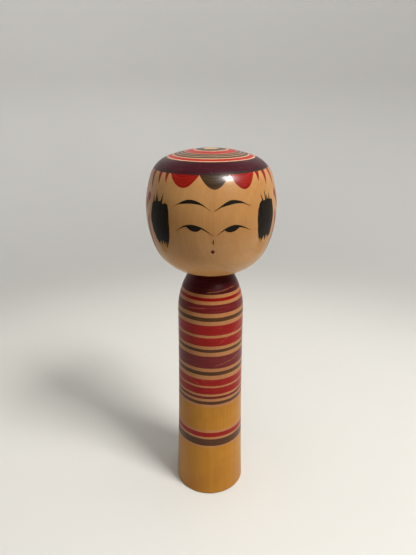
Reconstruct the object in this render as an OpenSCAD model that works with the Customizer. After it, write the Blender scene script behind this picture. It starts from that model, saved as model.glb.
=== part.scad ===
// A turned wooden kokeshi doll: a long body, a wide head, and the peg that the head turns on.
// The origin is the centre of the foot's underside. +Z runs up the turning axis, and the painted
// face looks along -Y. Every size is in millimetres.

/* [Body] */
// Height of the body, from its foot to the face of its neck
body_h = 165; // [130:1:220]
// Radius of the foot
foot_r = 24.3; // [20:0.1:32]
// Radius of the body just under the shoulder, where it is slimmest
waist_r = 21.8; // [17:0.1:26]
// Height of the rounded shoulder, from the waist up to the neck face
shoulder_h = 27.5; // [20:0.5:36]
// Radius of the neck face, which the head sits over
neck_r = 13.6; // [10.5:0.1:17]
// Width of the bevel around the edge of the foot
foot_bevel = 0.6; // [0.2:0.1:1.5]

/* [Lathe marks under the foot] */
// Number of slots that the lathe's claw chuck left
claw_n = 4; // [3:1:6]
// Distance from the axis to the middle of each slot
claw_ring_r = 7; // [5:0.5:10]
// Length of each slot
claw_l = 4.5; // [2:0.5:7]
// Width of each slot
claw_w = 0.9; // [0.5:0.1:1.5]
// Depth of each slot
claw_d = 2; // [0.5:0.5:4]
// Radius of the centre prick at the face of the foot
prick_r = 1.4; // [0.8:0.1:2.5]
// Depth of the centre prick
prick_d = 2.5; // [1:0.5:5]

/* [Head] */
// Width of the head at its widest
head_w = 80.6; // [66:0.2:100]
// Slope at the rim of the crown, in degrees below level
crown_slope = 20; // [14:1:26]
// Radius of the rounded edge between the crown and the side
edge_r = 17.2; // [12:0.2:22]
// Slope where that rounded edge runs into the temple, in degrees below level
temple_slope = 70; // [62:1:78]
// Radius of the temple's curve, down to the widest place
temple_r = 59; // [40:1:80]
// Radius of the cheek's curve, below the widest place
cheek_r = 66; // [45:1:90]
// Slope where the cheek runs into the jaw, in degrees below level
cheek_slope = 110; // [100:1:120]
// Slope of the flat cone under the jaw, in degrees below level
under_slope = 164; // [155:1:168]
// Length of that cone, measured along it
under_l = 5.8; // [3:0.2:9]
// Radius of the level seat under the head, which hangs over the neck face
seat_r = 12.3; // [10:0.1:16]

/* [Neck peg] */
// Radius of the peg
peg_r = 7; // [5:0.1:8]
// Length of the peg that is glued into the head
peg_in_head = 24; // [15:1:40]
// Length of the peg that turns inside the body
peg_in_body = 25; // [18:1:40]
// How much wider than the peg its retaining knob is, on the radius
knob_lip = 0.9; // [0.3:0.1:1.5]
// Height of the knob
knob_h = 6; // [4:0.5:9]
// Bevel on the ends of the peg and on the knob
peg_bevel = 1; // [0.5:0.1:1.5]

/* [Fits] */
// Running clearance of the peg in the body, on the radius
turn_gap = 0.05; // [0.02:0.01:0.1]
// Room around and below the knob inside the body
knob_gap = 0.4; // [0.2:0.1:0.8]
// Gap between the head's seat and the neck face
seat_gap = 0.3; // [0.2:0.1:0.6]
// Room left for glue past the end of the peg in the head
glue_gap = 1; // [0.5:0.5:3]

/* [Hidden] */
$fn = 128;
arc_step = 5;   // degrees of arc between two points of an outline
long_arc_n = 8; // pieces in the body's two long, shallow curves
overcut = 1;    // how far a cutting shape runs past the face that it opens

head_r = head_w / 2;
seat_z = body_h + seat_gap;
waist_z = body_h - shoulder_h;

// The two radii below close the head's outline at its full width and at its seat.
crown_r = (head_r - edge_r * (sin(temple_slope) - sin(crown_slope))
  - temple_r * (1 - sin(temple_slope))) / sin(crown_slope);
jaw_r = (head_r - seat_r - cheek_r * (1 - sin(cheek_slope)) + under_l * cos(under_slope))
  / (sin(cheek_slope) - sin(under_slope));
head_h = crown_r * (1 - cos(crown_slope))
  + edge_r * (cos(crown_slope) - cos(temple_slope))
  + temple_r * cos(temple_slope)
  - cheek_r * cos(cheek_slope)
  + jaw_r * (cos(cheek_slope) - cos(under_slope))
  + under_l * sin(under_slope);
head_top = seat_z + head_h;

knob_r = peg_r + knob_lip;
peg_bottom = seat_z - seat_gap - peg_in_body;
peg_top = seat_z + peg_in_head;

// Points of an arc that leaves (r0, z0) straight up or down and bends outwards or inwards until
// it has gone dr across and dz along the axis.
function shallow_arc(r0, z0, dr, dz) =
  let(radius = (dr * dr + dz * dz) / (2 * abs(dr)), sweep = asin(abs(dz) / radius))
  [for (i = [0 : long_arc_n])
    let(a = sweep * i / long_arc_n)
    [r0 + sign(dr) * radius * (1 - cos(a)), z0 + sign(dz) * radius * sin(a)]];

// Where an arc ends that starts at p and turns from slope a to slope b.
function arc_end(p, radius, a, b) =
  [p[0] + radius * (sin(b) - sin(a)), p[1] + radius * (cos(b) - cos(a))];

// Points of that arc, without its first one.
function turned_arc(p, radius, a, b) =
  let(n = ceil((b - a) / arc_step))
  [for (i = [1 : n]) arc_end(p, radius, a, a + (b - a) * i / n)];

// The head's outline runs from the top of the crown down to the seat, arc after arc.
crown_top = [0, head_top];
crown_rim = arc_end(crown_top, crown_r, 0, crown_slope);
temple_top = arc_end(crown_rim, edge_r, crown_slope, temple_slope);
widest = arc_end(temple_top, temple_r, temple_slope, 90);
cheek_end = arc_end(widest, cheek_r, 90, cheek_slope);
head_outline = concat(
  [crown_top],
  turned_arc(crown_top, crown_r, 0, crown_slope),
  turned_arc(crown_rim, edge_r, crown_slope, temple_slope),
  turned_arc(temple_top, temple_r, temple_slope, 90),
  turned_arc(widest, cheek_r, 90, cheek_slope),
  turned_arc(cheek_end, jaw_r, cheek_slope, under_slope),
  [[seat_r, seat_z], [0, seat_z]]
);

// The body's outline runs from the foot, which the long hollow curve reaches at its own radius.
side_curve = shallow_arc(waist_r, waist_z, foot_r - waist_r, -waist_z);
shoulder_curve = shallow_arc(waist_r, waist_z, neck_r - waist_r, shoulder_h);
body_outline = concat(
  [[0, 0], [foot_r - foot_bevel, 0], [foot_r, foot_bevel]],
  [for (i = [long_arc_n - 1 : -1 : 0]) side_curve[i]],
  [for (i = [1 : long_arc_n]) shoulder_curve[i]],
  [[0, body_h]]
);

module socket() {
  translate([0, 0, peg_bottom - knob_gap])
    cylinder(r = knob_r + knob_gap, h = knob_h + 2 * knob_gap);
  translate([0, 0, peg_bottom])
    cylinder(r = peg_r + turn_gap, h = peg_in_body + overcut);
}

module claw_marks() {
  for (i = [0 : claw_n - 1])
    rotate(i * 360 / claw_n)
      translate([claw_ring_r - claw_l / 2, -claw_w / 2, -overcut])
        cube([claw_l, claw_w, claw_d + overcut]);
}

module centre_prick() {
  cylinder(r1 = prick_r, r2 = 0, h = prick_d);
}

module body() {
  color("Peru")
    difference() {
      rotate_extrude()
        polygon(body_outline);
      socket();
      claw_marks();
      centre_prick();
    }
}

module head() {
  color("BurlyWood")
    difference() {
      rotate_extrude()
        polygon(head_outline);
      translate([0, 0, seat_z - overcut])
        cylinder(r = peg_r, h = peg_in_head + glue_gap + overcut);
    }
}

module neck_peg() {
  color("Tan")
    rotate_extrude()
      polygon([
        [0, peg_bottom],
        [knob_r - peg_bevel, peg_bottom],
        [knob_r, peg_bottom + peg_bevel],
        [knob_r, peg_bottom + knob_h - knob_lip],
        [peg_r, peg_bottom + knob_h],
        [peg_r, peg_top - peg_bevel],
        [peg_r - peg_bevel, peg_top],
        [0, peg_top]
      ]);
}

body();
head();
neck_peg();
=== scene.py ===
"""A turned and hand-painted kokeshi doll on a pale floor.

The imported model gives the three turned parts. The body and the head are turned again here on a
fine grid, and the paint on the head is laid over the wood as films of dye and ink. Every height,
radius and width below is in millimetres, and lights and their distances are in metres. Angles are
in degrees, and an azimuth of 0 is the middle of the face, growing towards the viewer's right.
"""
import math

import bpy
import numpy as np
from mathutils import Euler, Matrix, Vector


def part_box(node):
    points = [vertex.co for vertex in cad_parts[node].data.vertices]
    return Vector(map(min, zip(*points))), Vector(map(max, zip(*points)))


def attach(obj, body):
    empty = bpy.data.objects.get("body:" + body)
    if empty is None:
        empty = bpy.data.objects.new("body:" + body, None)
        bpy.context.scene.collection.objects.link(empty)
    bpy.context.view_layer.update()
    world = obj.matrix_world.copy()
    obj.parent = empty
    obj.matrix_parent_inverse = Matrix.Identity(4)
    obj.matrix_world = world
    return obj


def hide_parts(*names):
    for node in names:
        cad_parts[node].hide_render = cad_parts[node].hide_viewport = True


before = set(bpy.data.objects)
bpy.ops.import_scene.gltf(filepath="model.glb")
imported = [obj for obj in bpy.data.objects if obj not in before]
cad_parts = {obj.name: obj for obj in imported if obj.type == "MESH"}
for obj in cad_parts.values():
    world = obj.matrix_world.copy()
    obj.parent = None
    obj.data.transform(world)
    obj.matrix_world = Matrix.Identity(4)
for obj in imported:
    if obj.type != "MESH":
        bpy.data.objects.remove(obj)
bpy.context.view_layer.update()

MM = 0.001
BRISTLE_SEED = 7

# ---------------------------------------- sizes taken from the frame
body_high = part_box("body")[1]
head_low, head_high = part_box("head")
peg_low, peg_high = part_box("neck_peg")
BODY_TOP = body_high.z / MM
HEAD_SEAT = head_low.z / MM
HEAD_TOP = head_high.z / MM
HEAD_R = round(head_high.x / MM, 1)
FOOT_R = round(body_high.x / MM, 1)
PEG_BOTTOM = peg_low.z / MM
PEG_TOP = peg_high.z / MM
KNOB_R = round(peg_high.x / MM, 1)

# ---------------------------------------- the turner's own sizes
WAIST_R = 21.8
SHOULDER_H = 27.5
NECK_R = 13.6
FOOT_BEVEL = 0.6
KNOB_LIP = 0.9
KNOB_H = 6.0
KNOB_GAP = 0.4
TURN_GAP = 0.05
GLUE_GAP = 1.0
PRICK_R = 1.4
PRICK_D = 2.5
CLAW_N = 4
CLAW_RING_R = 7.0
CLAW_L = 4.5
CLAW_W = 0.9
CLAW_D = 2.0
CROWN_SLOPE = 20
EDGE_R = 17.2
TEMPLE_SLOPE = 70
TEMPLE_R = 59.0
CHEEK_R = 66.0
CHEEK_SLOPE = 110
UNDER_SLOPE = 164
UNDER_L = 5.8
SEAT_R = 12.3
PEG_R = KNOB_R - KNOB_LIP

SIDES = 256               # faces around a turned piece
OUTLINE_STEP = 0.9        # longest step along a turned outline
FILM = 0.03               # how far a film of dye stands off the wood
OVER_FILM = FILM * 1.4    # the same for the locks, and for the eyes, which lie over the lids
TUFT_FILM = FILM * 1.8    # the same for the tufts, which lie over the locks
CROWN_FILM = FILM * 2.4   # the same for the crown, which covers the roots of the petals
OPEN_END = 900.0          # the far end of a band that runs on past its piece

# How much of a turned piece's map a stretch of its outline gets for its length.
MAP_SHOWN = 1.0
MAP_UNDER = 0.5
MAP_HIDDEN = 0.15


# ---------------------------------------- outlines
def arc(start, radius, slope_a, slope_b, step=OUTLINE_STEP):
    """Points of an arc that starts at (r, z) and turns from slope_a to slope_b below level.

    r grows by radius times the change of the slope's sine, z by radius times that of its cosine.
    """
    sweep = math.radians(slope_b - slope_a)
    count = max(2, math.ceil(abs(radius * sweep) / step))
    slope = np.radians(np.linspace(slope_a, slope_b, count + 1))[1:]
    first = math.radians(slope_a)
    r = start[0] + radius * (np.sin(slope) - math.sin(first))
    z = start[1] + radius * (np.cos(slope) - math.cos(first))
    return np.stack([r, z], 1)


def line(start, end, step=OUTLINE_STEP):
    """Points of a straight stretch of an outline, without its start."""
    length = math.dist(start, end)
    share = np.linspace(0, 1, max(1, math.ceil(length / step)) + 1)[1:, None]
    return np.asarray(start) + (np.asarray(end) - np.asarray(start)) * share


def hollow(r0, z0, dr, dz, step=OUTLINE_STEP):
    """Points of a shallow arc that leaves (r0, z0) straight up or down and ends dr and dz away."""
    radius = (dr * dr + dz * dz) / (2 * abs(dr))
    sweep = math.asin(abs(dz) / radius)
    a = np.linspace(0, sweep, math.ceil(abs(dz) / step) + 1)
    r = r0 + math.copysign(radius, dr) * (1 - np.cos(a))
    z = z0 + math.copysign(radius, dz) * np.sin(a)
    return np.stack([r, z], 1)


def head_outline():
    """The head's outer outline, from the middle of the crown down to the rim of its seat."""
    s1, s2, s3, s4 = np.radians([CROWN_SLOPE, TEMPLE_SLOPE, CHEEK_SLOPE, UNDER_SLOPE])
    crown_r = (HEAD_R - EDGE_R * (np.sin(s2) - np.sin(s1)) - TEMPLE_R * (1 - np.sin(s2))) / np.sin(s1)
    jaw_r = (HEAD_R - SEAT_R - CHEEK_R * (1 - np.sin(s3)) + UNDER_L * np.cos(s4)) / (
        np.sin(s3) - np.sin(s4)
    )
    runs = [np.array([[0.0, HEAD_TOP]])]
    for radius, slope_a, slope_b in (
        (crown_r, 0, CROWN_SLOPE),
        (EDGE_R, CROWN_SLOPE, TEMPLE_SLOPE),
        (TEMPLE_R, TEMPLE_SLOPE, 90),
        (CHEEK_R, 90, CHEEK_SLOPE),
        (jaw_r, CHEEK_SLOPE, UNDER_SLOPE),
    ):
        runs.append(arc(runs[-1][-1], radius, slope_a, slope_b))
    runs.append(line(runs[-1][-1], (SEAT_R, HEAD_SEAT)))
    return np.concatenate(runs)


def body_outline():
    """The body's outer outline, from its neck face down to the bevel of its foot."""
    waist_z = BODY_TOP - SHOULDER_H
    shoulder = hollow(WAIST_R, waist_z, NECK_R - WAIST_R, SHOULDER_H)[::-1]
    side = hollow(WAIST_R, waist_z, FOOT_R - WAIST_R, -waist_z)
    side = side[side[:, 1] > FOOT_BEVEL]
    return np.concatenate([shoulder, side[1:], [[FOOT_R, FOOT_BEVEL]]])


HEAD_LINE = head_outline()
BODY_LINE = body_outline()
HEAD_S = np.concatenate([[0], np.cumsum(np.hypot(*np.diff(HEAD_LINE, axis=0).T))])


# ---------------------------------------- mesh
def grid_mesh(name, points, uv, closed_round=False, poles=(False, False)):
    """A mesh from a grid of points, rows along the piece and columns across it.

    points is (rows, columns, 3) in millimetres and uv is (rows, columns + 1 if closed, 2). With
    closed_round the last column joins the first. A pole row shrinks to one vertex with triangles.
    """
    rows, cols = points.shape[:2]
    index = np.arange(rows * cols).reshape(rows, cols)
    flat = points.reshape(-1, 3) * MM
    if poles[0]:
        index[0] = index[0, 0]
    if poles[1]:
        index[-1] = index[-1, 0]
    wide = np.concatenate([index, index[:, :1]], 1) if closed_round else index
    corners = np.stack([wide[:-1, :-1], wide[1:, :-1], wide[1:, 1:], wide[:-1, 1:]], -1)
    maps = np.stack([uv[:-1, :-1], uv[1:, :-1], uv[1:, 1:], uv[:-1, 1:]], -2)
    corners, maps = corners.reshape(-1, 4), maps.reshape(-1, 4, 2)
    keep = np.ones(corners.shape, bool)
    keep[:, 3] = corners[:, 0] != corners[:, 3]
    keep[:, 2] = corners[:, 1] != corners[:, 2]
    used, loops = np.unique(corners[keep], return_inverse=True)
    sizes = keep.sum(1)
    mesh = bpy.data.meshes.new(name)
    mesh.vertices.add(len(used))
    mesh.vertices.foreach_set("co", flat[used].astype(np.float32).ravel())
    mesh.loops.add(len(loops))
    mesh.loops.foreach_set("vertex_index", loops.astype(np.int32).ravel())
    mesh.polygons.add(len(sizes))
    mesh.polygons.foreach_set("loop_start", (np.cumsum(sizes) - sizes).astype(np.int32))
    mesh.polygons.foreach_set("use_smooth", np.ones(len(sizes), bool))
    mesh.update(calc_edges=True)
    layer = mesh.uv_layers.new(name="OFBake")
    layer.uv.foreach_set("vector", maps[keep].astype(np.float32).ravel())
    mesh.validate()
    piece = bpy.data.objects.new(name, mesh)
    bpy.context.collection.objects.link(piece)
    return piece


def around(count=SIDES):
    """Azimuths around the axis, in radians, from the middle of the back."""
    return np.arange(count) * (2 * math.pi / count) - math.pi


def spun(outline, azimuth):
    """Points of an outline turned about +Z, with azimuth 0 towards -Y."""
    r, z = outline[:, 0][:, None], outline[:, 1][:, None]
    return np.stack([r * np.sin(azimuth), -r * np.cos(azimuth), z + 0 * azimuth], -1)


def turned(outline, weight):
    """Points and map of a turned solid: azimuth runs across, the outline's weighted length up."""
    steps = np.hypot(*np.diff(outline, axis=0).T) * weight
    v = np.concatenate([[0], np.cumsum(steps)]) / steps.sum()
    points = spun(outline, around())
    u = np.linspace(0, 1, SIDES + 1)
    uv = np.stack(np.broadcast_arrays(u[None], 1 - v[:, None]), -1)
    return points, uv


def skin(azimuth, s, lift=0.0):
    """Points on the head at an azimuth in degrees and a length s down its outline, lifted off it."""
    slope_r = np.gradient(HEAD_LINE[:, 0], HEAD_S)
    slope_z = np.gradient(HEAD_LINE[:, 1], HEAD_S)
    out_r, out_z = -np.interp(s, HEAD_S, slope_z), np.interp(s, HEAD_S, slope_r)
    r = np.interp(s, HEAD_S, HEAD_LINE[:, 0]) + lift * out_r
    z = np.interp(s, HEAD_S, HEAD_LINE[:, 1]) + lift * out_z
    a = np.radians(azimuth)
    return np.stack([r * np.sin(a), -r * np.cos(a), z], -1)


def down_to(height):
    """The length down the head's outline at which it has this height."""
    return np.interp(-np.asarray(height, float), -HEAD_LINE[:, 1], HEAD_S)


def across_at(s):
    """Degrees of azimuth per millimetre at a length s down the head's outline."""
    return np.degrees(1 / np.maximum(np.interp(s, HEAD_S, HEAD_LINE[:, 0]), 1.0))


# ---------------------------------------- node trees
class Nodes:
    """Adds nodes to one material's tree and joins them up."""

    def __init__(self, material):
        """Starts from an empty tree."""
        material.use_nodes = True
        self.tree = material.node_tree
        self.tree.nodes.clear()

    def add(self, kind, *inputs, **settings):
        """A new node. inputs fill its sockets in their order, and named fills them by name."""
        made = self.tree.nodes.new(kind)
        named = settings.pop("named", {})
        for key, value in settings.items():
            setattr(made, key, value)
        for socket, value in list(zip(made.inputs, inputs)) + [
            (made.inputs[key], value) for key, value in named.items()
        ]:
            self.feed(socket, value)
        return made

    def feed(self, socket, value):
        """Joins a socket to another node's output, or sets it to a plain value."""
        if isinstance(value, bpy.types.NodeSocket):
            self.tree.links.new(value, socket)
        else:
            socket.default_value = value

    def math(self, operation, *inputs, clamp=False):
        """One step of arithmetic on numbers."""
        return self.add("ShaderNodeMath", *inputs, operation=operation, use_clamp=clamp).outputs[0]

    def vector(self, operation, *inputs):
        """One step of arithmetic on vectors."""
        return self.add("ShaderNodeVectorMath", *inputs, operation=operation).outputs[0]

    def place(self):
        """Object coordinates in millimetres."""
        coordinates = self.add("ShaderNodeTexCoord").outputs["Object"]
        return self.vector("MULTIPLY", coordinates, (1 / MM, 1 / MM, 1 / MM))

    def apart(self, vector):
        """The x, y and z of a vector."""
        return self.add("ShaderNodeSeparateXYZ", vector).outputs

    def stretched(self, place, scale, seed=0.0):
        """place times a scale along each axis, shifted so that patterns differ."""
        moved = self.vector("ADD", place, (seed * 13.7, seed * 7.3, seed * 5.1))
        return self.vector("MULTIPLY", moved, scale)

    def noise(self, vector, detail=3.0, rough=0.55):
        """Clouds from 0 to 1, each about one unit of the vector wide."""
        found = self.add(
            "ShaderNodeTexNoise",
            named={"Vector": vector, "Scale": 1.0, "Detail": detail, "Roughness": rough},
        )
        return found.outputs["Fac"]

    def ramp(self, value, low, high, smooth=True):
        """0 where value is at low and 1 where it is at high."""
        found = self.add(
            "ShaderNodeMapRange",
            named={"Value": value, "From Min": low, "From Max": high},
            interpolation_type="SMOOTHSTEP" if smooth else "LINEAR",
            clamp=True,
        )
        return found.outputs["Result"]

    def mix(self, share, a, b, blend="MIX"):
        """Two colours blended by a share. On a colour Mix node they are sockets 6 and 7."""
        made = self.add("ShaderNodeMix", data_type="RGBA", blend_type=blend, clamp_factor=True)
        self.feed(made.inputs[0], share)
        self.feed(made.inputs[6], a)
        self.feed(made.inputs[7], b)
        return made.outputs[2]


def rgb(r, g, b):
    """A colour with its alpha, from linear red, green and blue."""
    return (r, g, b, 1.0)


# ---------------------------------------- finishes
HEAD_WOOD = (rgb(0.48, 0.250, 0.088), rgb(0.37, 0.168, 0.050), rgb(0.22, 0.088, 0.025))
CROWN_WOOD = (rgb(0.62, 0.42, 0.235), rgb(0.50, 0.31, 0.160), rgb(0.32, 0.18, 0.080))
# The body's wood is darker and more orange than the head's: partly its own tone, partly painted shade
# from the head's shadow.
BODY_WOOD_AND_SHADE = (rgb(0.43, 0.192, 0.070), rgb(0.33, 0.130, 0.043), rgb(0.20, 0.070, 0.023))
PEG_WOOD = (rgb(0.62, 0.42, 0.235), rgb(0.50, 0.31, 0.155), rgb(0.32, 0.18, 0.080))
# Each dye is a pair: what it leaves of the wood's colour where it lies thin, and where thick.
DYE_RED = (rgb(0.74, 0.030, 0.048), rgb(0.50, 0.007, 0.016))
DYE_PURPLE = (rgb(0.43, 0.100, 0.290), rgb(0.235, 0.035, 0.120))
# The neck's purple is darker than the other purple bands: real dye with painted shade from the head's
# shadow over the neck.
DYE_NECK_AND_SHADE = (rgb(0.24, 0.032, 0.115), rgb(0.11, 0.010, 0.045))
DYE_RING = (rgb(0.130, 0.105, 0.092), rgb(0.055, 0.045, 0.040))
DYE_CROWN = (rgb(0.105, 0.024, 0.080), rgb(0.050, 0.008, 0.030))
DYE_BLACK = (rgb(0.235, 0.19, 0.140), rgb(0.11, 0.098, 0.073))
DYE_OCHRE = (rgb(1.00, 1.00, 0.28), rgb(1.00, 0.95, 0.18))
DYE_PETAL = (rgb(0.64, 0.012, 0.035), rgb(0.38, 0.003, 0.010))
DYE_GREY = (rgb(0.085, 0.083, 0.090), rgb(0.018, 0.020, 0.023))
DYE_LIP = (rgb(0.26, 0.022, 0.035), rgb(0.14, 0.008, 0.012))
INK_BLACK = rgb(0.006, 0.006, 0.005)
RIM_INK = rgb(0.018, 0.020, 0.012)

BODY_PITH = (31.0, 19.0)
HEAD_PITH = (-46.0, 35.0)
PEG_PITH = (9.0, -14.0)
# Painted bounce light: the head's wood is multiplied paler from the first height down to the second,
# for light thrown up from the floor onto the chin.
CHIN_BOUNCE_LIGHT = rgb(1.30, 1.33, 1.30)
CHIN_LIGHT_FROM = 192.0
CHIN_LIGHT_BY = 172.0


def wood(n, place, tones, pith, seed):
    """Bare wood: its colour, mixed from three tones, and a height for its bump.

    Growth rings lie around a pith beside the piece, so they run up its sides as wide soft bands.
    Fine fibres and short dark flecks run along the grain, a faint ripple lies across it, and broad
    stains wander over it all.
    """
    x, y = n.apart(place)[:2]
    bend = n.noise(n.stretched(place, (0.03, 0.03, 0.006), seed), 2.0)
    dx = n.math("SUBTRACT", x, pith[0])
    dy = n.math("SUBTRACT", y, pith[1])
    away = n.math("SQRT", n.math("ADD", n.math("MULTIPLY", dx, dx), n.math("MULTIPLY", dy, dy)))
    away = n.math("ADD", away, n.math("MULTIPLY", bend, 14.0))
    ring_line = n.add("ShaderNodeCombineXYZ", n.math("MULTIPLY", away, 0.45), seed, 0.0).outputs[0]
    rings = n.ramp(n.noise(ring_line, 2.0, 0.5), 0.3, 0.7)
    fibres = n.noise(n.stretched(place, (1.6, 1.6, 0.035), seed), 4.0, 0.6)
    stains = n.noise(n.stretched(place, (0.045, 0.045, 0.03), seed), 3.0, 0.5)
    ripple = n.noise(n.stretched(place, (0.04, 0.04, 0.15), seed + 7), 1.0, 0.4)
    flecks = n.noise(n.stretched(place, (1.9, 1.9, 0.22), seed + 3), 1.0, 0.4)
    flecks = n.ramp(flecks, 0.66, 0.78)
    depth = n.math("MULTIPLY", rings, 0.34)
    depth = n.math("ADD", depth, n.math("MULTIPLY", n.ramp(fibres, 0.3, 0.7), 0.28))
    depth = n.math("ADD", depth, n.math("MULTIPLY", n.ramp(stains, 0.3, 0.7), 0.45))
    depth = n.math("ADD", depth, n.math("MULTIPLY", n.ramp(ripple, 0.35, 0.65), 0.16))
    depth = n.math("SUBTRACT", depth, 0.06)
    pale, deep, dark = tones
    colour = n.mix(n.math("MULTIPLY", depth, 0.9, clamp=True), pale, deep)
    colour = n.mix(n.math("MULTIPLY", flecks, 0.22), colour, dark)
    height = n.math("SUBTRACT", fibres, n.math("MULTIPLY", flecks, 0.6))
    return colour, height


def head_bare_chin_lit(n, place):
    """The head's bare wood, painted paler toward the chin as painted bounce light from the floor."""
    colour, height = wood(n, place, HEAD_WOOD, HEAD_PITH, 4.0)
    # Painted bounce light from the floor, strongest at the chin.
    low = n.ramp(n.apart(place)[2], CHIN_LIGHT_FROM, CHIN_LIGHT_BY)
    return n.mix(low, colour, CHIN_BOUNCE_LIGHT, "MULTIPLY"), height


def around_streaks(n, place, fine, seed):
    """Streaks that run around the axis, as a brush held to turning wood leaves them, from 0 to 1."""
    return n.noise(n.stretched(place, (0.07, 0.07, fine), seed), 3.0, 0.6)


def scuffs(n, place, seed):
    """Thin scratches and small knocks in the paint, 1 where the dye has gone."""
    turn = n.noise(n.stretched(place, (0.05, 0.05, 0.05), seed), 1.0)
    lines = n.vector("MULTIPLY", place, (0.10, 0.10, 1.1))
    lines = n.vector("ADD", lines, n.add("ShaderNodeCombineXYZ", turn, turn, turn).outputs[0])
    hair = n.noise(lines, 1.0, 0.3)
    hair = n.math("ABSOLUTE", n.math("SUBTRACT", hair, 0.5))
    hair = n.math("SUBTRACT", 1.0, n.ramp(hair, 0.0, 0.012))
    where = n.ramp(n.noise(n.stretched(place, (0.16, 0.16, 0.16), seed + 2), 2.0), 0.60, 0.70)
    nicks = n.ramp(n.noise(n.stretched(place, (0.9, 0.9, 0.9), seed + 5), 1.0), 0.76, 0.80)
    return n.math("MAXIMUM", n.math("MULTIPLY", hair, where), nicks)


def scratch(n, place, start, end, width):
    """1 along a thin worn scratch between two (azimuth, height) places, broken up as it goes."""
    x, y, z = n.apart(place)
    azimuth = n.math("MULTIPLY", n.math("ARCTAN2", x, n.math("MULTIPLY", y, -1.0)), math.degrees(1))
    share = n.ramp(azimuth, start[0], end[0], False)
    sway = n.math("SUBTRACT", n.noise(n.stretched(place, (0.12, 0.12, 0.12), width), 2.0), 0.5)
    level = n.math("ADD", n.math("MULTIPLY", share, end[1] - start[1]), start[1])
    off = n.math("ABSOLUTE", n.math("SUBTRACT", n.math("ADD", z, sway), level))
    line_mask = n.ramp(off, width, width * 0.25)
    ends = n.math("MULTIPLY", n.ramp(share, 0.0, 0.12), n.ramp(share, 1.0, 0.85))
    broken = n.ramp(n.noise(n.stretched(place, (0.5, 0.5, 0.9), start[0]), 3.0), 0.30, 0.55)
    return n.math("MULTIPLY", n.math("MULTIPLY", line_mask, ends), broken)


def waxed(n, colour, height, place, seed, roughness=0.32, bump=0.06, coat=0.12, gloss=0.12):
    """A waxed wood surface: patchy gloss, raised grain and the fine rings that the tool leaves."""
    z = n.apart(place)[2]
    rub = n.noise(n.stretched(place, (0.09, 0.09, 0.09), seed + 1), 3.0)
    rough = n.math("ADD", roughness - 0.07, n.math("MULTIPLY", rub, 0.14))
    tool = n.math("SINE", n.math("MULTIPLY", z, 9.0))
    left_by_tool = n.ramp(n.noise(n.stretched(place, (0.02, 0.02, 0.4), seed), 1.0), 0.4, 0.7)
    tool = n.math("MULTIPLY", tool, left_by_tool)
    relief = n.math("ADD", height, n.math("MULTIPLY", tool, 0.12))
    raised = n.add(
        "ShaderNodeBump", named={"Strength": bump, "Distance": 0.25 * MM, "Height": relief}
    ).outputs[0]
    shader = n.add(
        "ShaderNodeBsdfPrincipled",
        named={
            "Base Color": colour,
            "Roughness": rough,
            "Normal": raised,
            "IOR": 1.5,
            "Specular IOR Level": gloss,
            "Coat Weight": coat,
            "Coat Roughness": 0.11,
            "Coat IOR": 1.45,
        },
    )
    n.add("ShaderNodeOutputMaterial", shader.outputs[0])


def laid(n, bare, dye, thick, cover):
    """Wood under a clear dye: thin or thick, the dye takes its share of each colour it covers."""
    taken = n.mix(thick, dye[0], dye[1])
    return n.mix(cover, bare, n.mix(1.0, bare, taken, "MULTIPLY"))


def bands_cover(n, z, bands, soft):
    """1 inside any of the bands of height and 0 outside them, with edges soft millimetres wide."""
    total = 0.0
    for low, high in bands:
        inside = n.ramp(z, low - soft / 2, low + soft / 2, False)
        if high < OPEN_END:
            above = n.ramp(z, high - soft / 2, high + soft / 2, False)
            inside = n.math("SUBTRACT", inside, above)
        total = n.math("ADD", total, inside, clamp=True)
    return total


# Bands of dye on the body, each from its lower to its upper height.
RED_BANDS = [(150.7, 152.7), (127.6, 134.7), (119.8, 125.8), (90.0, 95.0), (83.6, 88.7), (49.1, 52.7)]
NECK_BANDS = [(154.7, OPEN_END)]
PURPLE_BANDS = [(142.9, 148.5), (103.4, 112.4), (80.0, 82.0)]
BLACK_BANDS = [(137.5, 140.2), (115.4, 117.6), (98.2, 101.0), (75.6, 78.0), (41.8, 47.4)]
OCHRE_BANDS = [(54.8, 73.5), (FOOT_BEVEL, 40.5)]
BAND_SOFT = 0.28
# Worn scratches across the bands: from one (azimuth, height) to another, and how wide.
SCRATCHES = [
    ((-14.0, 155.9), (64.0, 157.8), 0.45),
    ((-46.0, 95.6), (-20.0, 90.4), 0.32),
    ((-27.0, 99.0), (-9.0, 92.0), 0.28),
    ((12.0, 121.5), (58.0, 132.5), 0.35),
    ((4.0, 105.2), (60.0, 109.6), 0.50),
    ((-50.0, 145.0), (-8.0, 146.6), 0.36),
    ((120.0, 88.0), (158.0, 132.0), 0.40),
    ((-150.0, 151.0), (-112.0, 118.0), 0.38),
]


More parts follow.
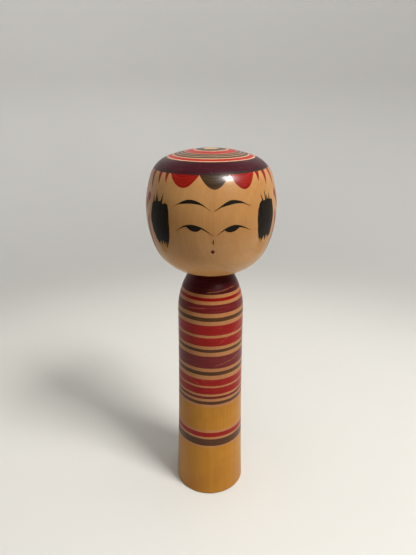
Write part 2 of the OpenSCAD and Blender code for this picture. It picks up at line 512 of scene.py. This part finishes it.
def body_paint():
    """Body wood with its turned bands: each dye's edges wander a little, and its streaks run round.
    The wood's tone is partly painted shade.
    """
    material = bpy.data.materials.new("banded_body")
    n = Nodes(material)
    place = n.place()
    z = n.apart(place)[2]
    bare, height = wood(n, place, BODY_WOOD_AND_SHADE, BODY_PITH, 1.0)
    worn = n.math("MULTIPLY", scuffs(n, place, 2.0), 0.7)
    for start, end, width in SCRATCHES:
        worn = n.math("MAXIMUM", worn, scratch(n, place, start, end, width))
    colour = bare
    for seed, dye, bands in (
        (1.0, DYE_OCHRE, OCHRE_BANDS),
        (2.0, DYE_RED, RED_BANDS),
        (3.0, DYE_BLACK, BLACK_BANDS),
        (4.0, DYE_PURPLE, PURPLE_BANDS),
        # The neck's band carries painted shade from the head's shadow.
        (5.0, DYE_NECK_AND_SHADE, NECK_BANDS),
    ):
        sway = n.noise(n.stretched(place, (0.10, 0.10, 0.02), seed), 2.0)
        wander = n.math("MULTIPLY", n.math("SUBTRACT", sway, 0.5), 0.5)
        at = n.math("ADD", z, wander)
        cover = bands_cover(n, at, bands, BAND_SOFT)
        inner = bands_cover(n, at, [(low + 0.5, high - 0.5) for low, high in bands], 0.9)
        streaks = n.ramp(around_streaks(n, place, 1.9, seed), 0.25, 0.75)
        edges = n.math("MULTIPLY", n.math("SUBTRACT", 1.0, inner), 0.45)
        thick = n.math("ADD", streaks, edges, clamp=True)
        cover = n.math("MULTIPLY", cover, n.math("SUBTRACT", 1.0, n.math("MULTIPLY", worn, 0.52)))
        colour = laid(n, colour, dye, thick, cover)
    waxed(n, colour, height, place, 1.0)
    return material


# Rings of dye on the crown, each from its inner to its outer length down the outline.
CROWN_BLACK = [(4.5, 9.3), (16.0, 17.9), (20.5, 22.6)]
CROWN_RED = [(10.6, 15.6), (23.4, 26.1)]
CROWN_PURPLE = [(18.3, 20.0), (26.9, OPEN_END)]
CROWN_EDGE_Z = 231.4
CROWN_EDGE_LEAN = 0.6
RING_CENTRE = (-0.3, 0.0)
DAB_UNDER = 1.4     # how far the dabs run up under the crown's band
PETAL_UNDER = 1.6   # how far the petals do


def crown_paint():
    """The crown's turned rings, by their distance from the middle along the surface."""
    material = bpy.data.materials.new("crown_rings")
    n = Nodes(material)
    place = n.place()
    bare, height = wood(n, place, CROWN_WOOD, HEAD_PITH, 4.0)
    worn = scuffs(n, place, 6.0)
    s = n.add("ShaderNodeAttribute", attribute_name="down").outputs["Fac"]
    colour = bare
    for seed, dye, rings in (
        (5.0, DYE_RED, CROWN_RED),
        (6.0, DYE_RING, CROWN_BLACK),
        (7.0, DYE_CROWN, CROWN_PURPLE),
    ):
        sway = n.noise(n.stretched(place, (0.05, 0.05, 0.05), seed), 1.0)
        at = n.math("ADD", s, n.math("MULTIPLY", n.math("SUBTRACT", sway, 0.5), 0.35))
        cover = bands_cover(n, at, rings, 0.25)
        along = n.vector("MULTIPLY", place, (0.05, 0.05, 0.05))
        streak_at = n.add("ShaderNodeCombineXYZ", n.math("MULTIPLY", s, 1.6), seed, 0.0).outputs[0]
        thick = n.ramp(n.noise(n.vector("ADD", streak_at, along), 3.0, 0.6), 0.25, 0.7)
        cover = n.math("MULTIPLY", cover, n.math("SUBTRACT", 1.0, n.math("MULTIPLY", worn, 0.35)))
        colour = laid(n, colour, dye, thick, cover)
    inside = n.add("ShaderNodeAttribute", attribute_name="inside").outputs["Fac"]
    rim = n.math("SUBTRACT", n.ramp(inside, 1.5, 1.0), n.ramp(inside, 0.25, 0.0))
    patchy = n.ramp(n.noise(n.stretched(place, (0.07, 0.07, 0.07), 8.0), 2.0), 0.35, 0.6)
    colour = n.mix(n.math("MULTIPLY", rim, patchy), colour, RIM_INK)
    waxed(n, colour, height, place, 4.0, roughness=0.30, coat=0.12, gloss=0.11)
    return material


def head_wood():
    """The head's bare waxed wood, with painted bounce light from the floor toward the chin."""
    material = bpy.data.materials.new("head_wood")
    n = Nodes(material)
    place = n.place()
    bare, height = head_bare_chin_lit(n, place)
    waxed(n, bare, height, place, 4.0, coat=0.20, gloss=0.20)
    return material


def peg_wood():
    """The peg's bare wood, unwaxed and so rougher."""
    material = bpy.data.materials.new("peg_wood")
    n = Nodes(material)
    place = n.place()
    bare, height = wood(n, place, PEG_WOOD, PEG_PITH, 9.0)
    waxed(n, bare, height, place, 9.0, roughness=0.6, bump=0.12, coat=0.0)
    return material


def brushed(name, dye, opaque, thin, seed):
    """Dye or ink that a brush has laid on the head's wood.

    Two attributes say how it lies: cover is how much the brush left, from 0 to 1, and hair is
    where across the brush a point was, so that its streaks follow the stroke. opaque is ink that
    hides the wood, and the rest is a clear dye. thin is how much the streaks let through.
    """
    material = bpy.data.materials.new(name)
    n = Nodes(material)
    place = n.place()
    # The wood under the dye keeps the painted bounce light on the chin.
    bare, height = head_bare_chin_lit(n, place)
    hair = n.add("ShaderNodeAttribute", attribute_name="hair").outputs["Fac"]
    left = n.add("ShaderNodeAttribute", attribute_name="cover").outputs["Fac"]
    along = n.vector("MULTIPLY", place, (0.06, 0.06, 0.10))
    hairs_at = n.add("ShaderNodeCombineXYZ", n.math("MULTIPLY", hair, 9.0), seed, 0.0).outputs[0]
    streaks = n.ramp(n.noise(n.vector("ADD", hairs_at, along), 4.0, 0.65), 0.3, 0.7)
    gaps = n.math("SUBTRACT", 1.0, streaks)
    dry = n.ramp(n.math("SUBTRACT", n.math("MULTIPLY", left, 1.7), gaps), 0.0, 0.45)
    kept = n.math("SUBTRACT", 1.0, n.math("MULTIPLY", gaps, thin))
    cover = n.math("MULTIPLY", dry, kept, clamp=True)
    if opaque:
        colour = n.mix(cover, bare, dye)
        waxed(n, colour, height, place, 4.0, roughness=0.42, coat=0.04, gloss=0.05)
    else:
        colour = laid(n, bare, dye, n.math("MULTIPLY", streaks, left), cover)
        waxed(n, colour, height, place, 4.0, bump=0.11)
    return material


# ---------------------------------------- turned pieces
def turned_body():
    """The whole body, with its socket, its neck face, its side, and the marks under its foot."""
    cavity_low = PEG_BOTTOM - KNOB_GAP
    cavity_high = PEG_BOTTOM + KNOB_H + KNOB_GAP
    bore_r = PEG_R + TURN_GAP
    cavity_r = KNOB_R + KNOB_GAP
    runs = [np.array([[0.0, cavity_low]])]
    weights = []
    for end in (
        (cavity_r, cavity_low),
        (cavity_r, cavity_high),
        (bore_r, cavity_high),
        (bore_r, BODY_TOP),
        (NECK_R, BODY_TOP),
    ):
        runs.append(line(runs[-1][-1], end, 0.6))
        weights += [MAP_HIDDEN] * len(runs[-1])
    runs.append(BODY_LINE[1:])
    weights += [MAP_SHOWN] * len(runs[-1])
    for end in ((FOOT_R - FOOT_BEVEL, 0.0), (PRICK_R, 0.0)):
        runs.append(line(runs[-1][-1], end, 0.25))
        weights += [MAP_UNDER] * len(runs[-1])
    runs.append(line(runs[-1][-1], (0.0, PRICK_D), 0.4))
    weights += [MAP_HIDDEN] * len(runs[-1])
    outline = np.concatenate(runs)
    points, uv = turned(outline, np.array(weights))
    points[..., 2] += claw_dents(points)
    return grid_mesh("turned_body", points, uv, closed_round=True, poles=(True, True))


def claw_dents(points):
    """How far the chuck's claws pressed the foot in: full depth along each slot, with steep sides."""
    x, y = points[..., 0], points[..., 1]
    depth = np.zeros(x.shape)
    for turn in np.arange(CLAW_N) * (2 * math.pi / CLAW_N):
        along = x * math.cos(turn) + y * math.sin(turn) - CLAW_RING_R
        beside = -x * math.sin(turn) + y * math.cos(turn)
        end = np.clip((CLAW_L / 2 - np.abs(along)) / 0.4, 0, 1)
        wall = np.clip((CLAW_W / 2 - np.abs(beside)) / 0.3, 0, 1)
        depth = np.maximum(depth, end * wall)
    return CLAW_D * depth * (points[..., 2] == 0.0)


def turned_head():
    """The whole head, from its crown round to its seat, and up the peg's bore."""
    outline = [HEAD_LINE]
    weights = [MAP_SHOWN] * (len(HEAD_LINE) - 1)
    bore_end = PEG_TOP + GLUE_GAP
    for end in ((PEG_R, HEAD_SEAT), (PEG_R, bore_end), (0.0, bore_end)):
        outline.append(line(outline[-1][-1], end, 0.8))
        weights += [MAP_HIDDEN] * len(outline[-1])
    points, uv = turned(np.concatenate(outline), np.array(weights))
    return grid_mesh("turned_head", points, uv, closed_round=True, poles=(True, True))


# ---------------------------------------- paint on the head
def set_attribute(piece, name, values):
    """Stores one number a vertex on a piece."""
    piece.data.attributes.new(name, "FLOAT", "POINT").data.foreach_set(
        "value", np.asarray(values, np.float32).ravel()
    )


def film(name, azimuth, s, material, hair=None, cover=None, lift=FILM):
    """A thin film on the head over a grid of azimuths and lengths down its outline."""
    rows, cols = azimuth.shape
    u = np.linspace(0, 1, cols)[None, :]
    v = np.linspace(1, 0, rows)[:, None]
    uv = np.stack(np.broadcast_arrays(u, v), -1)
    piece = grid_mesh(name, skin(azimuth, s, lift), uv)
    set_attribute(piece, "hair", np.broadcast_to(u, azimuth.shape) if hair is None else hair)
    set_attribute(piece, "cover", np.ones(azimuth.shape) if cover is None else cover)
    finish_piece(piece, "head", material)
    return piece


def finish_piece(piece, body, material):
    """Gives a piece its material and its body."""
    piece.data.materials.append(material)
    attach(piece, body)


def smooth_path(points, count):
    """A smooth curve through a few points: a cubic through each pair, with shared slopes."""
    points = np.asarray(points, float)
    gaps = np.hypot(*np.diff(points, axis=0).T)
    at = np.concatenate([[0], np.cumsum(gaps)])
    slopes = np.gradient(points, at, axis=0)
    t = np.linspace(0, at[-1], count)
    i = np.clip(np.searchsorted(at, t, side="right") - 1, 0, len(gaps) - 1)
    h = gaps[i][:, None]
    x = ((t - at[i]) / gaps[i])[:, None]
    return (
        points[i] * (2 * x**3 - 3 * x**2 + 1)
        + slopes[i] * h * (x**3 - 2 * x**2 + x)
        + points[i + 1] * (3 * x**2 - 2 * x**3)
        + slopes[i + 1] * h * (x**3 - x**2)
    )


def stroke(name, places, width, material, along=90, across=11, lift=FILM, fade=None):
    """One brush stroke: a path through a few (azimuth, height) places, as wide as width(t).

    The path is drawn flat, in millimetres across and down from its first place. Each point of
    the film lies beside the path, along its normal, by a share of half the width from -1 to 1.
    """
    places = np.asarray(places, float)
    s = down_to(places[:, 1])
    per_mm = across_at(s.mean())
    flat = np.stack([places[:, 0] / per_mm, s], 1)
    path = smooth_path(flat, along)
    t = np.linspace(0, 1, along)
    forward = np.gradient(path, axis=0)
    forward /= np.linalg.norm(forward, axis=1)[:, None]
    beside = np.stack([forward[:, 1], -forward[:, 0]], 1)
    share = np.linspace(-1, 1, across)
    half = np.broadcast_to(width(t), t.shape)[:, None] / 2
    points = path[:, None] + beside[:, None] * (share * half)[..., None]
    cover = np.ones(points.shape[:2]) if fade is None else fade(t)[:, None] + 0 * share
    hair = np.broadcast_to((share + 1) / 2, points.shape[:2])
    return film(name, points[..., 0] * per_mm, points[..., 1], material, hair, cover, lift)


def swell(low, high, centre=0.5, power=1.5):
    """A width that is low at the ends and high at its centre along the stroke."""
    def width(t):
        near = np.where(t < centre, t / centre, (1 - t) / (1 - centre))
        return low + (high - low) * np.sin(np.clip(near, 0, 1) * math.pi / 2) ** power
    return width


def drop(width):
    """A width that fills out at once from a round start and then runs out to a point."""
    def at(t):
        return width * np.minimum(np.sqrt(t * 6 + 0.01), 1.0) * (1 - t) ** 0.75 + 0.08
    return at


def between(name, top, bottom, rows, material, lift=FILM, hair=None, cover=None):
    """A film between two edges, each given as azimuth and height for every column.

    Each row is a mix of the two edges, in azimuth and in length down the outline.
    """
    share = np.linspace(0, 1, rows)[:, None]
    azimuth = top[:, 0] * (1 - share) + bottom[:, 0] * share
    s = down_to(top[:, 1]) * (1 - share) + down_to(bottom[:, 1]) * share
    return film(name, azimuth, s, material, hair, cover, lift)


def crown_edge(azimuth):
    """The length down the outline at the band's lower edge, a touch lower on the viewer's left."""
    return down_to(CROWN_EDGE_Z + CROWN_EDGE_LEAN * np.sin(np.radians(azimuth)))


def crown():
    """The crown's film: a disc of rings from the middle out to the band's lower edge.

    The rings were turned a little off the centre, so each point's ring follows from its distance
    to that centre, read back as a length down the outline.
    """
    rows = 96
    azimuth = np.degrees(around())
    share = np.linspace(0, 1, rows)[:, None]
    s = share * crown_edge(azimuth)
    points = skin(np.broadcast_to(azimuth, s.shape), s, CROWN_FILM)
    spread = np.radians(np.append(azimuth, azimuth[0] + 360.0))
    uv = np.stack([0.5 + 0.49 * share * np.sin(spread), 0.5 - 0.49 * share * np.cos(spread)], -1)
    piece = grid_mesh("crown_rings", points, uv, True, (True, False))
    far = np.hypot(points[..., 0] - RING_CENTRE[0], points[..., 1] - RING_CENTRE[1])
    widest = int(np.argmax(HEAD_LINE[:, 0]))
    down = np.interp(far, HEAD_LINE[:widest, 0], HEAD_S[:widest])
    left = crown_edge(azimuth) - s
    set_attribute(piece, "down", np.concatenate([down[0, :1], down[1:].ravel()]))
    set_attribute(piece, "inside", np.concatenate([left[0, :1], left[1:].ravel()]))
    finish_piece(piece, "head", CROWN)


def petal(name, outline, material):
    """A petal of hair that hangs from the crown's band: a few (azimuth, height) places round it.

    Its streaks run across it, and the brush left more dye along its outline than inside it.
    """
    rows, columns = 32, 121
    path = smooth_path(outline, columns)
    root_azimuth = np.linspace(path[0, 0], path[-1, 0], columns)
    root = np.stack([root_azimuth, np.full(columns, CROWN_EDGE_Z + PETAL_UNDER)], 1)
    share = np.linspace(0, 1, rows)[:, None]
    side = 1 - np.abs(np.linspace(-1, 1, columns))[None, :]
    deep = np.minimum((1 - share) * 7.0, side * 9.0)
    cover = 1.0 - 0.18 * np.clip(deep - 0.4, 0, 1)
    between(name, root, path, rows, material, hair=share * 1.5 + 0 * side, cover=cover)


FRINGE = {
    "left": [
        (-43.0, 231.4), (-38.6, 228.4), (-33.6, 225.8), (-27.5, 224.4),
        (-21.5, 225.5), (-17.0, 228.2), (-12.9, 231.4),
    ],
    "middle": [
        (-13.4, 231.6), (-9.2, 228.3), (-4.8, 225.5), (0.4, 224.2),
        (5.4, 225.3), (9.8, 228.0), (14.4, 231.6),
    ],
    "right": [
        (14.8, 231.6), (18.2, 227.6), (21.8, 225.2), (27.0, 223.7),
        (31.6, 224.8), (35.8, 227.8), (40.9, 231.8),
    ],
}


def fringe():
    """The three petals over the forehead: a grey one between two red ones."""
    for side, outline in FRINGE.items():
        if side == "middle":
            petal(f"fringe_{side}", outline, GREY_BRUSH)
        else:
            petal(f"fringe_{side}", outline, RED_BRUSH)


DAB_FULL = 1.18


def ribbon_dabs():
    """Small pointed red dabs that hang from the band beside the fringe and on round the back.

    Each is given by its root's azimuth, its tip's azimuth and height, and its width.
    """
    dabs = [
        (-71.0, -64.6, 221.3, 4.4),
        (-57.4, -54.6, 224.4, 3.6),
        (-47.4, -45.4, 226.0, 3.4),
        (45.6, 43.4, 227.0, 3.2),
        (56.0, 53.6, 224.4, 3.6),
        (69.0, 67.0, 222.6, 4.2),
        (-86.0, -82.0, 221.8, 4.2),
        (84.0, 81.0, 222.2, 4.2),
    ]
    back = [(a, a, 224.0, 3.8) for a in np.arange(102.0, 259.0, 13.0)]
    for k, (root, tip, height, width) in enumerate(dabs + back):
        middle = (root * 0.45 + tip * 0.55, height * 0.45 + CROWN_EDGE_Z * 0.55)
        stroke(
            f"ribbon_dab_{k:02d}",
            [(root, CROWN_EDGE_Z + DAB_UNDER), middle, (tip, height)],
            lambda t, w=width * DAB_FULL: w * (1 - t) ** 0.9 + 0.05,
            RED_BRUSH,
            along=40,
            across=9,
        )


def brows():
    """Two long brows, hair-thin at their ends and full over the middle."""
    left = [(-33.8, 214.3), (-27.1, 216.5), (-20.0, 217.6), (-11.0, 216.6), (-2.6, 213.2)]
    right = [(0.6, 213.0), (7.0, 215.7), (14.6, 217.5), (22.0, 217.2), (30.4, 214.8)]
    stroke("brow_left", left, swell(0.16, 2.15, 0.44, 2.5), INK)
    stroke("brow_right", right, swell(0.38, 2.3, 0.46, 2.9), INK)


EYE_DEPTH = 3.2


def eyes():
    """Narrow half-moon eyes: a long lid line, and the dark of the eye hanging under it."""
    lids = {
        "left": [(-31.2, 200.7), (-24.6, 203.6), (-17.2, 204.5), (-10.0, 203.3), (0.0, 198.8)],
        "right": [(2.1, 199.0), (9.6, 202.9), (16.6, 204.4), (23.4, 203.5), (31.6, 200.9)],
    }
    for side, places in lids.items():
        centre = 0.45 if side == "left" else 0.52
        stroke(f"lid_{side}", places, swell(0.20, 1.20, centre, 1.6), INK)
    moons = {"left": (-22.6, -9.6, -15.9), "right": (8.2, 21.4, 15.0)}
    for side, (first, last, deepest) in moons.items():
        lid = smooth_path(lids[side], 200)
        azimuth = np.linspace(first, last, 60)
        top = np.stack([azimuth, np.interp(azimuth, lid[:, 0], lid[:, 1])], 1)
        reach = np.where(azimuth < deepest, deepest - first, last - deepest)
        depth = EYE_DEPTH * (1 - np.abs((azimuth - deepest) / reach) ** 2.1)
        bottom = np.stack([azimuth, top[:, 1] - depth], 1)
        between(f"eye_{side}", top, bottom, 14, INK, OVER_FILM)


MOUTH_AT = -0.65
MOUTH_HALF = 1.95
MOUTH_Z = 189.2
LIP_RISE = 1.35


def nose_and_mouth():
    """A short dash for the nose, and a small red mouth of two touching lips."""
    stroke(
        "nose",
        [(-0.4, 196.8), (-0.4, 195.4), (-0.35, 193.8)],
        lambda t: 0.28 + 0.42 * np.sin(t**1.4 * math.pi) ** 0.8,
        INK,
        along=30,
        across=7,
    )
    azimuth = MOUTH_AT + np.linspace(-MOUTH_HALF, MOUTH_HALF, 31)
    rise = LIP_RISE * (1 - np.abs((azimuth - MOUTH_AT) / MOUTH_HALF) ** 1.25)
    middle = np.stack([azimuth, np.full(31, MOUTH_Z)], 1)
    over = np.stack([azimuth, MOUTH_Z + rise], 1)
    under = np.stack([azimuth, MOUTH_Z - rise], 1)
    between("lip_upper", over, middle, 7, LIP)
    between("lip_lower", middle, under, 7, LIP)


# Each lock of hair beside the face: the height below which its brush ran dry, its front and back
# edges and its top as (azimuth, height), and each tuft's root azimuth, tip azimuth and tip height.
LOCKS = {
    "left": {
        "dry": 191.2,
        "front": [
            (-47.5, 184.0), (-44.5, 187.5), (-41.2, 191.5), (-39.0, 196.0),
            (-38.1, 202.0), (-38.9, 211.5), (-40.6, 216.0),
        ],
        "back": [
            (-51.5, 184.0), (-53.5, 188.0), (-57.5, 192.5), (-60.6, 197.0),
            (-62.9, 204.0), (-60.1, 213.4), (-58.5, 216.0),
        ],
        "top": [
            (-60.5, 213.2), (-57.5, 214.9), (-52.4, 215.1), (-48.1, 215.9),
            (-45.4, 214.4), (-42.6, 215.3), (-40.0, 214.3),
        ],
        "spikes": [
            (-57.6, -58.6, 218.8), (-54.0, -54.7, 221.6),
            (-52.6, -52.4, 218.9), (-47.6, -45.7, 220.6),
        ],
    },
    "right": {
        "dry": 193.8,
        "front": [
            (43.5, 187.0), (42.3, 194.0), (39.5, 200.0), (38.3, 207.0),
            (38.9, 211.8), (40.6, 214.8), (44.2, 217.0),
        ],
        "back": [
            (52.0, 187.0), (56.0, 192.4), (59.6, 194.5), (61.2, 201.0),
            (61.9, 206.2), (61.0, 210.8), (59.4, 217.0),
        ],
        "top": [(43.5, 216.3), (48.0, 216.2), (53.7, 216.6), (57.0, 216.0), (60.0, 215.4)],
        "spikes": [
            (45.8, 43.0, 220.4), (49.6, 48.3, 222.3),
            (51.2, 50.6, 219.4), (53.8, 54.9, 220.0),
        ],
    },
}
LOCK_LOW = 184.0
LOCK_HIGH = 217.0
LOCK_MARGIN = 0.6
LOCK_EDGE_SOFT = 0.35
BRISTLE_N = 56
BRISTLE_SPAN = (36.0, 66.0)   # the azimuths between which the brush's bristles lie
BRISTLE_DROP = 0.4            # how far below the dry height the driest bristle ends
BRISTLE_RUN = 5.2             # how much lower the wettest bristle ends
BRISTLE_FADE = 3.2
TUFT_ROOT_Z = 213.6
TUFT_BEND_Z = 216.6


def side_lock(side):
    """A block of brushed black hair beside the face, with pointed tufts and dry bristle ends.

    The film reaches LOCK_MARGIN past the lock's front and back edges. Its cover is full inside the
    edges and falls to nothing over a fraction of a millimetre, and below the height dry each bristle
    ends at its own height.
    """
    lock = LOCKS[side]
    front, back, top = (np.array(lock[key]) for key in ("front", "back", "top"))
    sign = np.sign(front[0, 0])
    rng = np.random.default_rng(BRISTLE_SEED + int(sign))
    z = np.linspace(LOCK_HIGH, LOCK_LOW, 121)[:, None]
    per_mm = across_at(down_to(z))
    near = sign * np.interp(z, front[:, 1], front[:, 0])
    far = sign * np.interp(z, back[:, 1], back[:, 0])
    margin = LOCK_MARGIN * per_mm
    share = np.linspace(0, 1, 101)[None, :]
    azimuth = sign * ((near - margin) * (1 - share) + (far + margin) * share)
    ahead = (sign * azimuth - near) / per_mm
    behind = (far - sign * azimuth) / per_mm
    below = np.interp(azimuth, top[:, 0], top[:, 1]) - z
    bristles = rng.uniform(0, 1, BRISTLE_N)
    ends = np.interp(azimuth * sign, np.linspace(*BRISTLE_SPAN, BRISTLE_N), bristles)
    above = z - (lock["dry"] - BRISTLE_DROP - BRISTLE_RUN * ends**1.5)
    sides = np.minimum(np.minimum(ahead, behind), below)
    cover = np.clip(sides / LOCK_EDGE_SOFT + 0.5, 0, 1) * np.clip(above / BRISTLE_FADE, 0, 1)
    hair = (np.abs(azimuth) - BRISTLE_SPAN[0]) / 14.0
    s = down_to(z) + 0 * azimuth
    film(f"side_lock_{side}", azimuth, s, LOCK, hair, cover, OVER_FILM)
    for k, (base, tip, height) in enumerate(lock["spikes"]):
        stroke(
            f"lock_spike_{side}_{k}",
            [(base, TUFT_ROOT_Z), (base * 0.6 + tip * 0.4, TUFT_BEND_Z), (tip, height)],
            lambda t: 1.6 * (1 - t) ** 0.8 + 0.08,
            LOCK,
            along=30,
            across=7,
            lift=TUFT_FILM,
            fade=lambda t: 1.0 - 0.45 * t,
        )


def ornaments():
    """Red hair ornaments behind each lock: a short comma above, and a long crescent below it."""
    paths = {
        "comma_left": ([(-66.0, 218.4), (-71.5, 213.6), (-75.5, 206.8)], 5.8),
        "comma_right": ([(67.0, 220.2), (70.8, 216.2), (73.8, 209.6)], 5.6),
        "crescent_left": ([(-67.0, 206.5), (-70.0, 200.5), (-70.0, 192.0), (-64.0, 178.0)], 3.6),
        "crescent_right": ([(66.0, 208.6), (69.8, 202.5), (69.8, 193.0), (64.5, 180.0)], 3.6),
    }
    for name, (places, width) in paths.items():
        if name.startswith("comma"):
            shape = drop(width)
        else:
            shape = swell(0.3, width, 0.35, 1.0)
        stroke(f"ornament_{name}", places, shape, RED_BRUSH)


# ---------------------------------------- build
WOOD = head_wood()
BANDED = body_paint()
CROWN = crown_paint()
PEG = peg_wood()
RED_BRUSH = brushed("red_brush", DYE_PETAL, False, 0.06, 3.0)
GREY_BRUSH = brushed("grey_brush", DYE_GREY, False, 0.10, 5.0)
INK = brushed("ink", INK_BLACK, True, 0.03, 7.0)
LOCK = brushed("lock_ink", INK_BLACK, True, 0.03, 8.0)
LIP = brushed("lip_dye", DYE_LIP, False, 0.05, 9.0)

body_piece = turned_body()
finish_piece(body_piece, "body", BANDED)
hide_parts("body")

head_piece = turned_head()
finish_piece(head_piece, "head", WOOD)
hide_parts("head")

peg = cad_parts["neck_peg"]
peg.data.materials.clear()
peg.data.materials.append(PEG)

crown()
fringe()
ribbon_dabs()
brows()
eyes()
nose_and_mouth()
side_lock("left")
side_lock("right")
ornaments()

# ---------------------------------------- floor, lights and camera
TABLE_R = 420.0
FRONT_GLOW = 0.55
GLOW_FROM = 150.0
GLOW_BY = -300.0
SWEEP_START = 450.0
SWEEP_R = 300.0
WALL_TOP = 1500.0
FLOOR_TURN = 1.875   # degrees between the floor's columns, the same in all its parts
GREY_FROM = 210.0
GREY_BY = 560.0
FLOOR_DARK = rgb(0.59, 0.58, 0.548)
FLOOR_LIGHT = rgb(0.62, 0.61, 0.577)
WALL_GREY = rgb(0.42, 0.417, 0.405)
CAMERA_AZIMUTH = -2.2
CAMERA_AWAY = 297.7
CAMERA_HEIGHT = 274.0
CAMERA_DOWN = 21.08
CAMERA_LENS = 31.52
CAMERA_YAW = 0.35
CAMERA_ROLL = 0.24
LIGHT_COLOUR = (1.0, 0.98, 0.95)
LIGHT_TARGET_Z = 0.2
# Each light's azimuth, angle above level, distance, width and power, and whether it is the glint.
LIGHTS = {
    "window": (37, 48, 1.3, 0.34, 54.0, True),
    "key": (49, 48, 1.3, 0.40, 20.5, False),
    "ceiling": (25, 78, 1.5, 1.0, 10.0, False),
    "fill": (-55, 35, 1.7, 1.4, 0.5, False),
    "rear": (170, 40, 1.7, 1.2, 2.4, False),
}
SKY_COLOUR = rgb(0.80, 0.81, 0.80)
SKY_STRENGTH = 0.16


def floor_paint():
    """Plain pale paint: warm near the doll, greyer away from it, with a little light in the front."""
    material = bpy.data.materials.new("floor_paint")
    n = Nodes(material)
    place = n.place()
    x, y, z = n.apart(place)
    cloud = n.noise(n.stretched(place, (0.004, 0.004, 0.004), 1.0), 3.0)
    colour = n.mix(cloud, FLOOR_DARK, FLOOR_LIGHT)
    across = n.math("SQRT", n.math("ADD", n.math("MULTIPLY", x, x), n.math("MULTIPLY", y, y)))
    colour = n.mix(n.ramp(across, GREY_FROM, GREY_BY), colour, WALL_GREY)
    upright = n.ramp(z, 0.0, SWEEP_R)
    rough = n.math("ADD", 0.55, n.math("MULTIPLY", cloud, 0.2))
    lit = n.math("MULTIPLY", n.math("MULTIPLY", upright, n.ramp(y, GLOW_FROM, GLOW_BY)), FRONT_GLOW)
    shader = n.add(
        "ShaderNodeBsdfPrincipled",
        named={
            "Base Color": colour,
            "Roughness": rough,
            "Emission Color": WALL_GREY,
            "Emission Strength": lit,
        },
    )
    n.add("ShaderNodeOutputMaterial", shader.outputs[0])
    return material


def pale_floor():
    """A plain pale round floor that sweeps up into a wall, well clear of the doll.

    The wall's front half is there for the eye alone: the lights shine in through it, and the
    doll's gloss mirrors only the floor near it and the wall behind it.
    """
    material = floor_paint()
    turn = np.radians(np.linspace(0, 90, 33))[1:]
    bend = np.stack([SWEEP_START + SWEEP_R * np.sin(turn), SWEEP_R * (1 - np.cos(turn))], 1)
    disc = np.concatenate([[[0.0, 0.0]], line((0.0, 0.0), (TABLE_R, 0.0), 30.0)])
    rim = np.concatenate([[[TABLE_R, 0.0], [SWEEP_START, 0.0]], bend])
    rim = np.concatenate([rim, line(bend[-1], (SWEEP_START + SWEEP_R, WALL_TOP), 100.0)])
    spans = {
        "floor_table": (disc[::-1], 0.0, 360.0),
        "backdrop_behind": (rim[::-1], 90.0, 270.0),
        "backdrop_front": (rim[::-1], -90.0, 90.0),
    }
    for name, (outline, first, last) in spans.items():
        count = round((last - first) / FLOOR_TURN) + 1
        azimuth = np.radians(np.linspace(first, last, count))
        u = np.linspace(0, 1, count)[None]
        v = np.linspace(0, 1, len(outline))[:, None]
        uv = np.stack(np.broadcast_arrays(u, v), -1)
        if name == "floor_table":
            surface = grid_mesh(name, spun(outline, azimuth[:-1]), uv, True, (False, True))
        else:
            surface = grid_mesh(name, spun(outline, azimuth), uv)
        seen_only = name == "backdrop_front"
        surface.visible_glossy = not seen_only
        surface.visible_diffuse = not seen_only
        surface.visible_shadow = not seen_only
        surface.data.materials.append(material)


def soft_light(name, azimuth, up, away, size, power, glint):
    """A square soft light that faces the head, placed by its azimuth and its angle above level.

    A light either gives the gloss its glint, as a window's clear pane does, or lights the colours.
    """
    a, e = math.radians(azimuth), math.radians(up)
    target = np.array([0.0, 0.0, LIGHT_TARGET_Z])
    offset = away * np.array([math.sin(a) * math.cos(e), -math.cos(a) * math.cos(e), math.sin(e)])
    data = bpy.data.lights.new(name, "AREA")
    data.size = size
    data.energy = power
    data.color = LIGHT_COLOUR
    lamp = bpy.data.objects.new(name, data)
    lamp.location = target + offset
    lamp.rotation_euler = (math.pi / 2 - e, 0.0, a)
    lamp.visible_glossy = glint
    lamp.visible_diffuse = not glint
    bpy.context.collection.objects.link(lamp)


def make_camera():
    """A camera as near and as wide as a phone's, looking down at the doll."""
    data = bpy.data.cameras.new("camera")
    data.lens = CAMERA_LENS
    data.clip_start = 0.01
    camera = bpy.data.objects.new("camera", data)
    a = math.radians(CAMERA_AZIMUTH)
    place = (CAMERA_AWAY * math.sin(a), -CAMERA_AWAY * math.cos(a), CAMERA_HEIGHT)
    camera.location = np.array(place) * MM
    turn = math.radians(CAMERA_YAW) + a
    tilt = math.radians(90 - CAMERA_DOWN)
    roll = math.radians(CAMERA_ROLL)
    looking = Euler((tilt, 0.0, turn)).to_matrix() @ Matrix.Rotation(roll, 3, "Z")
    camera.rotation_euler = looking.to_euler()
    bpy.context.collection.objects.link(camera)
    bpy.context.scene.camera = camera


def sky():
    """An even, very pale surround."""
    world = bpy.data.worlds.new("surround")
    world.use_nodes = True
    background = world.node_tree.nodes["Background"]
    background.inputs["Color"].default_value = SKY_COLOUR
    background.inputs["Strength"].default_value = SKY_STRENGTH
    bpy.context.scene.world = world


pale_floor()
for lamp_name, lamp_values in LIGHTS.items():
    soft_light(lamp_name, *lamp_values)
make_camera()
sky()
bpy.context.scene.view_settings.view_transform = "Standard"
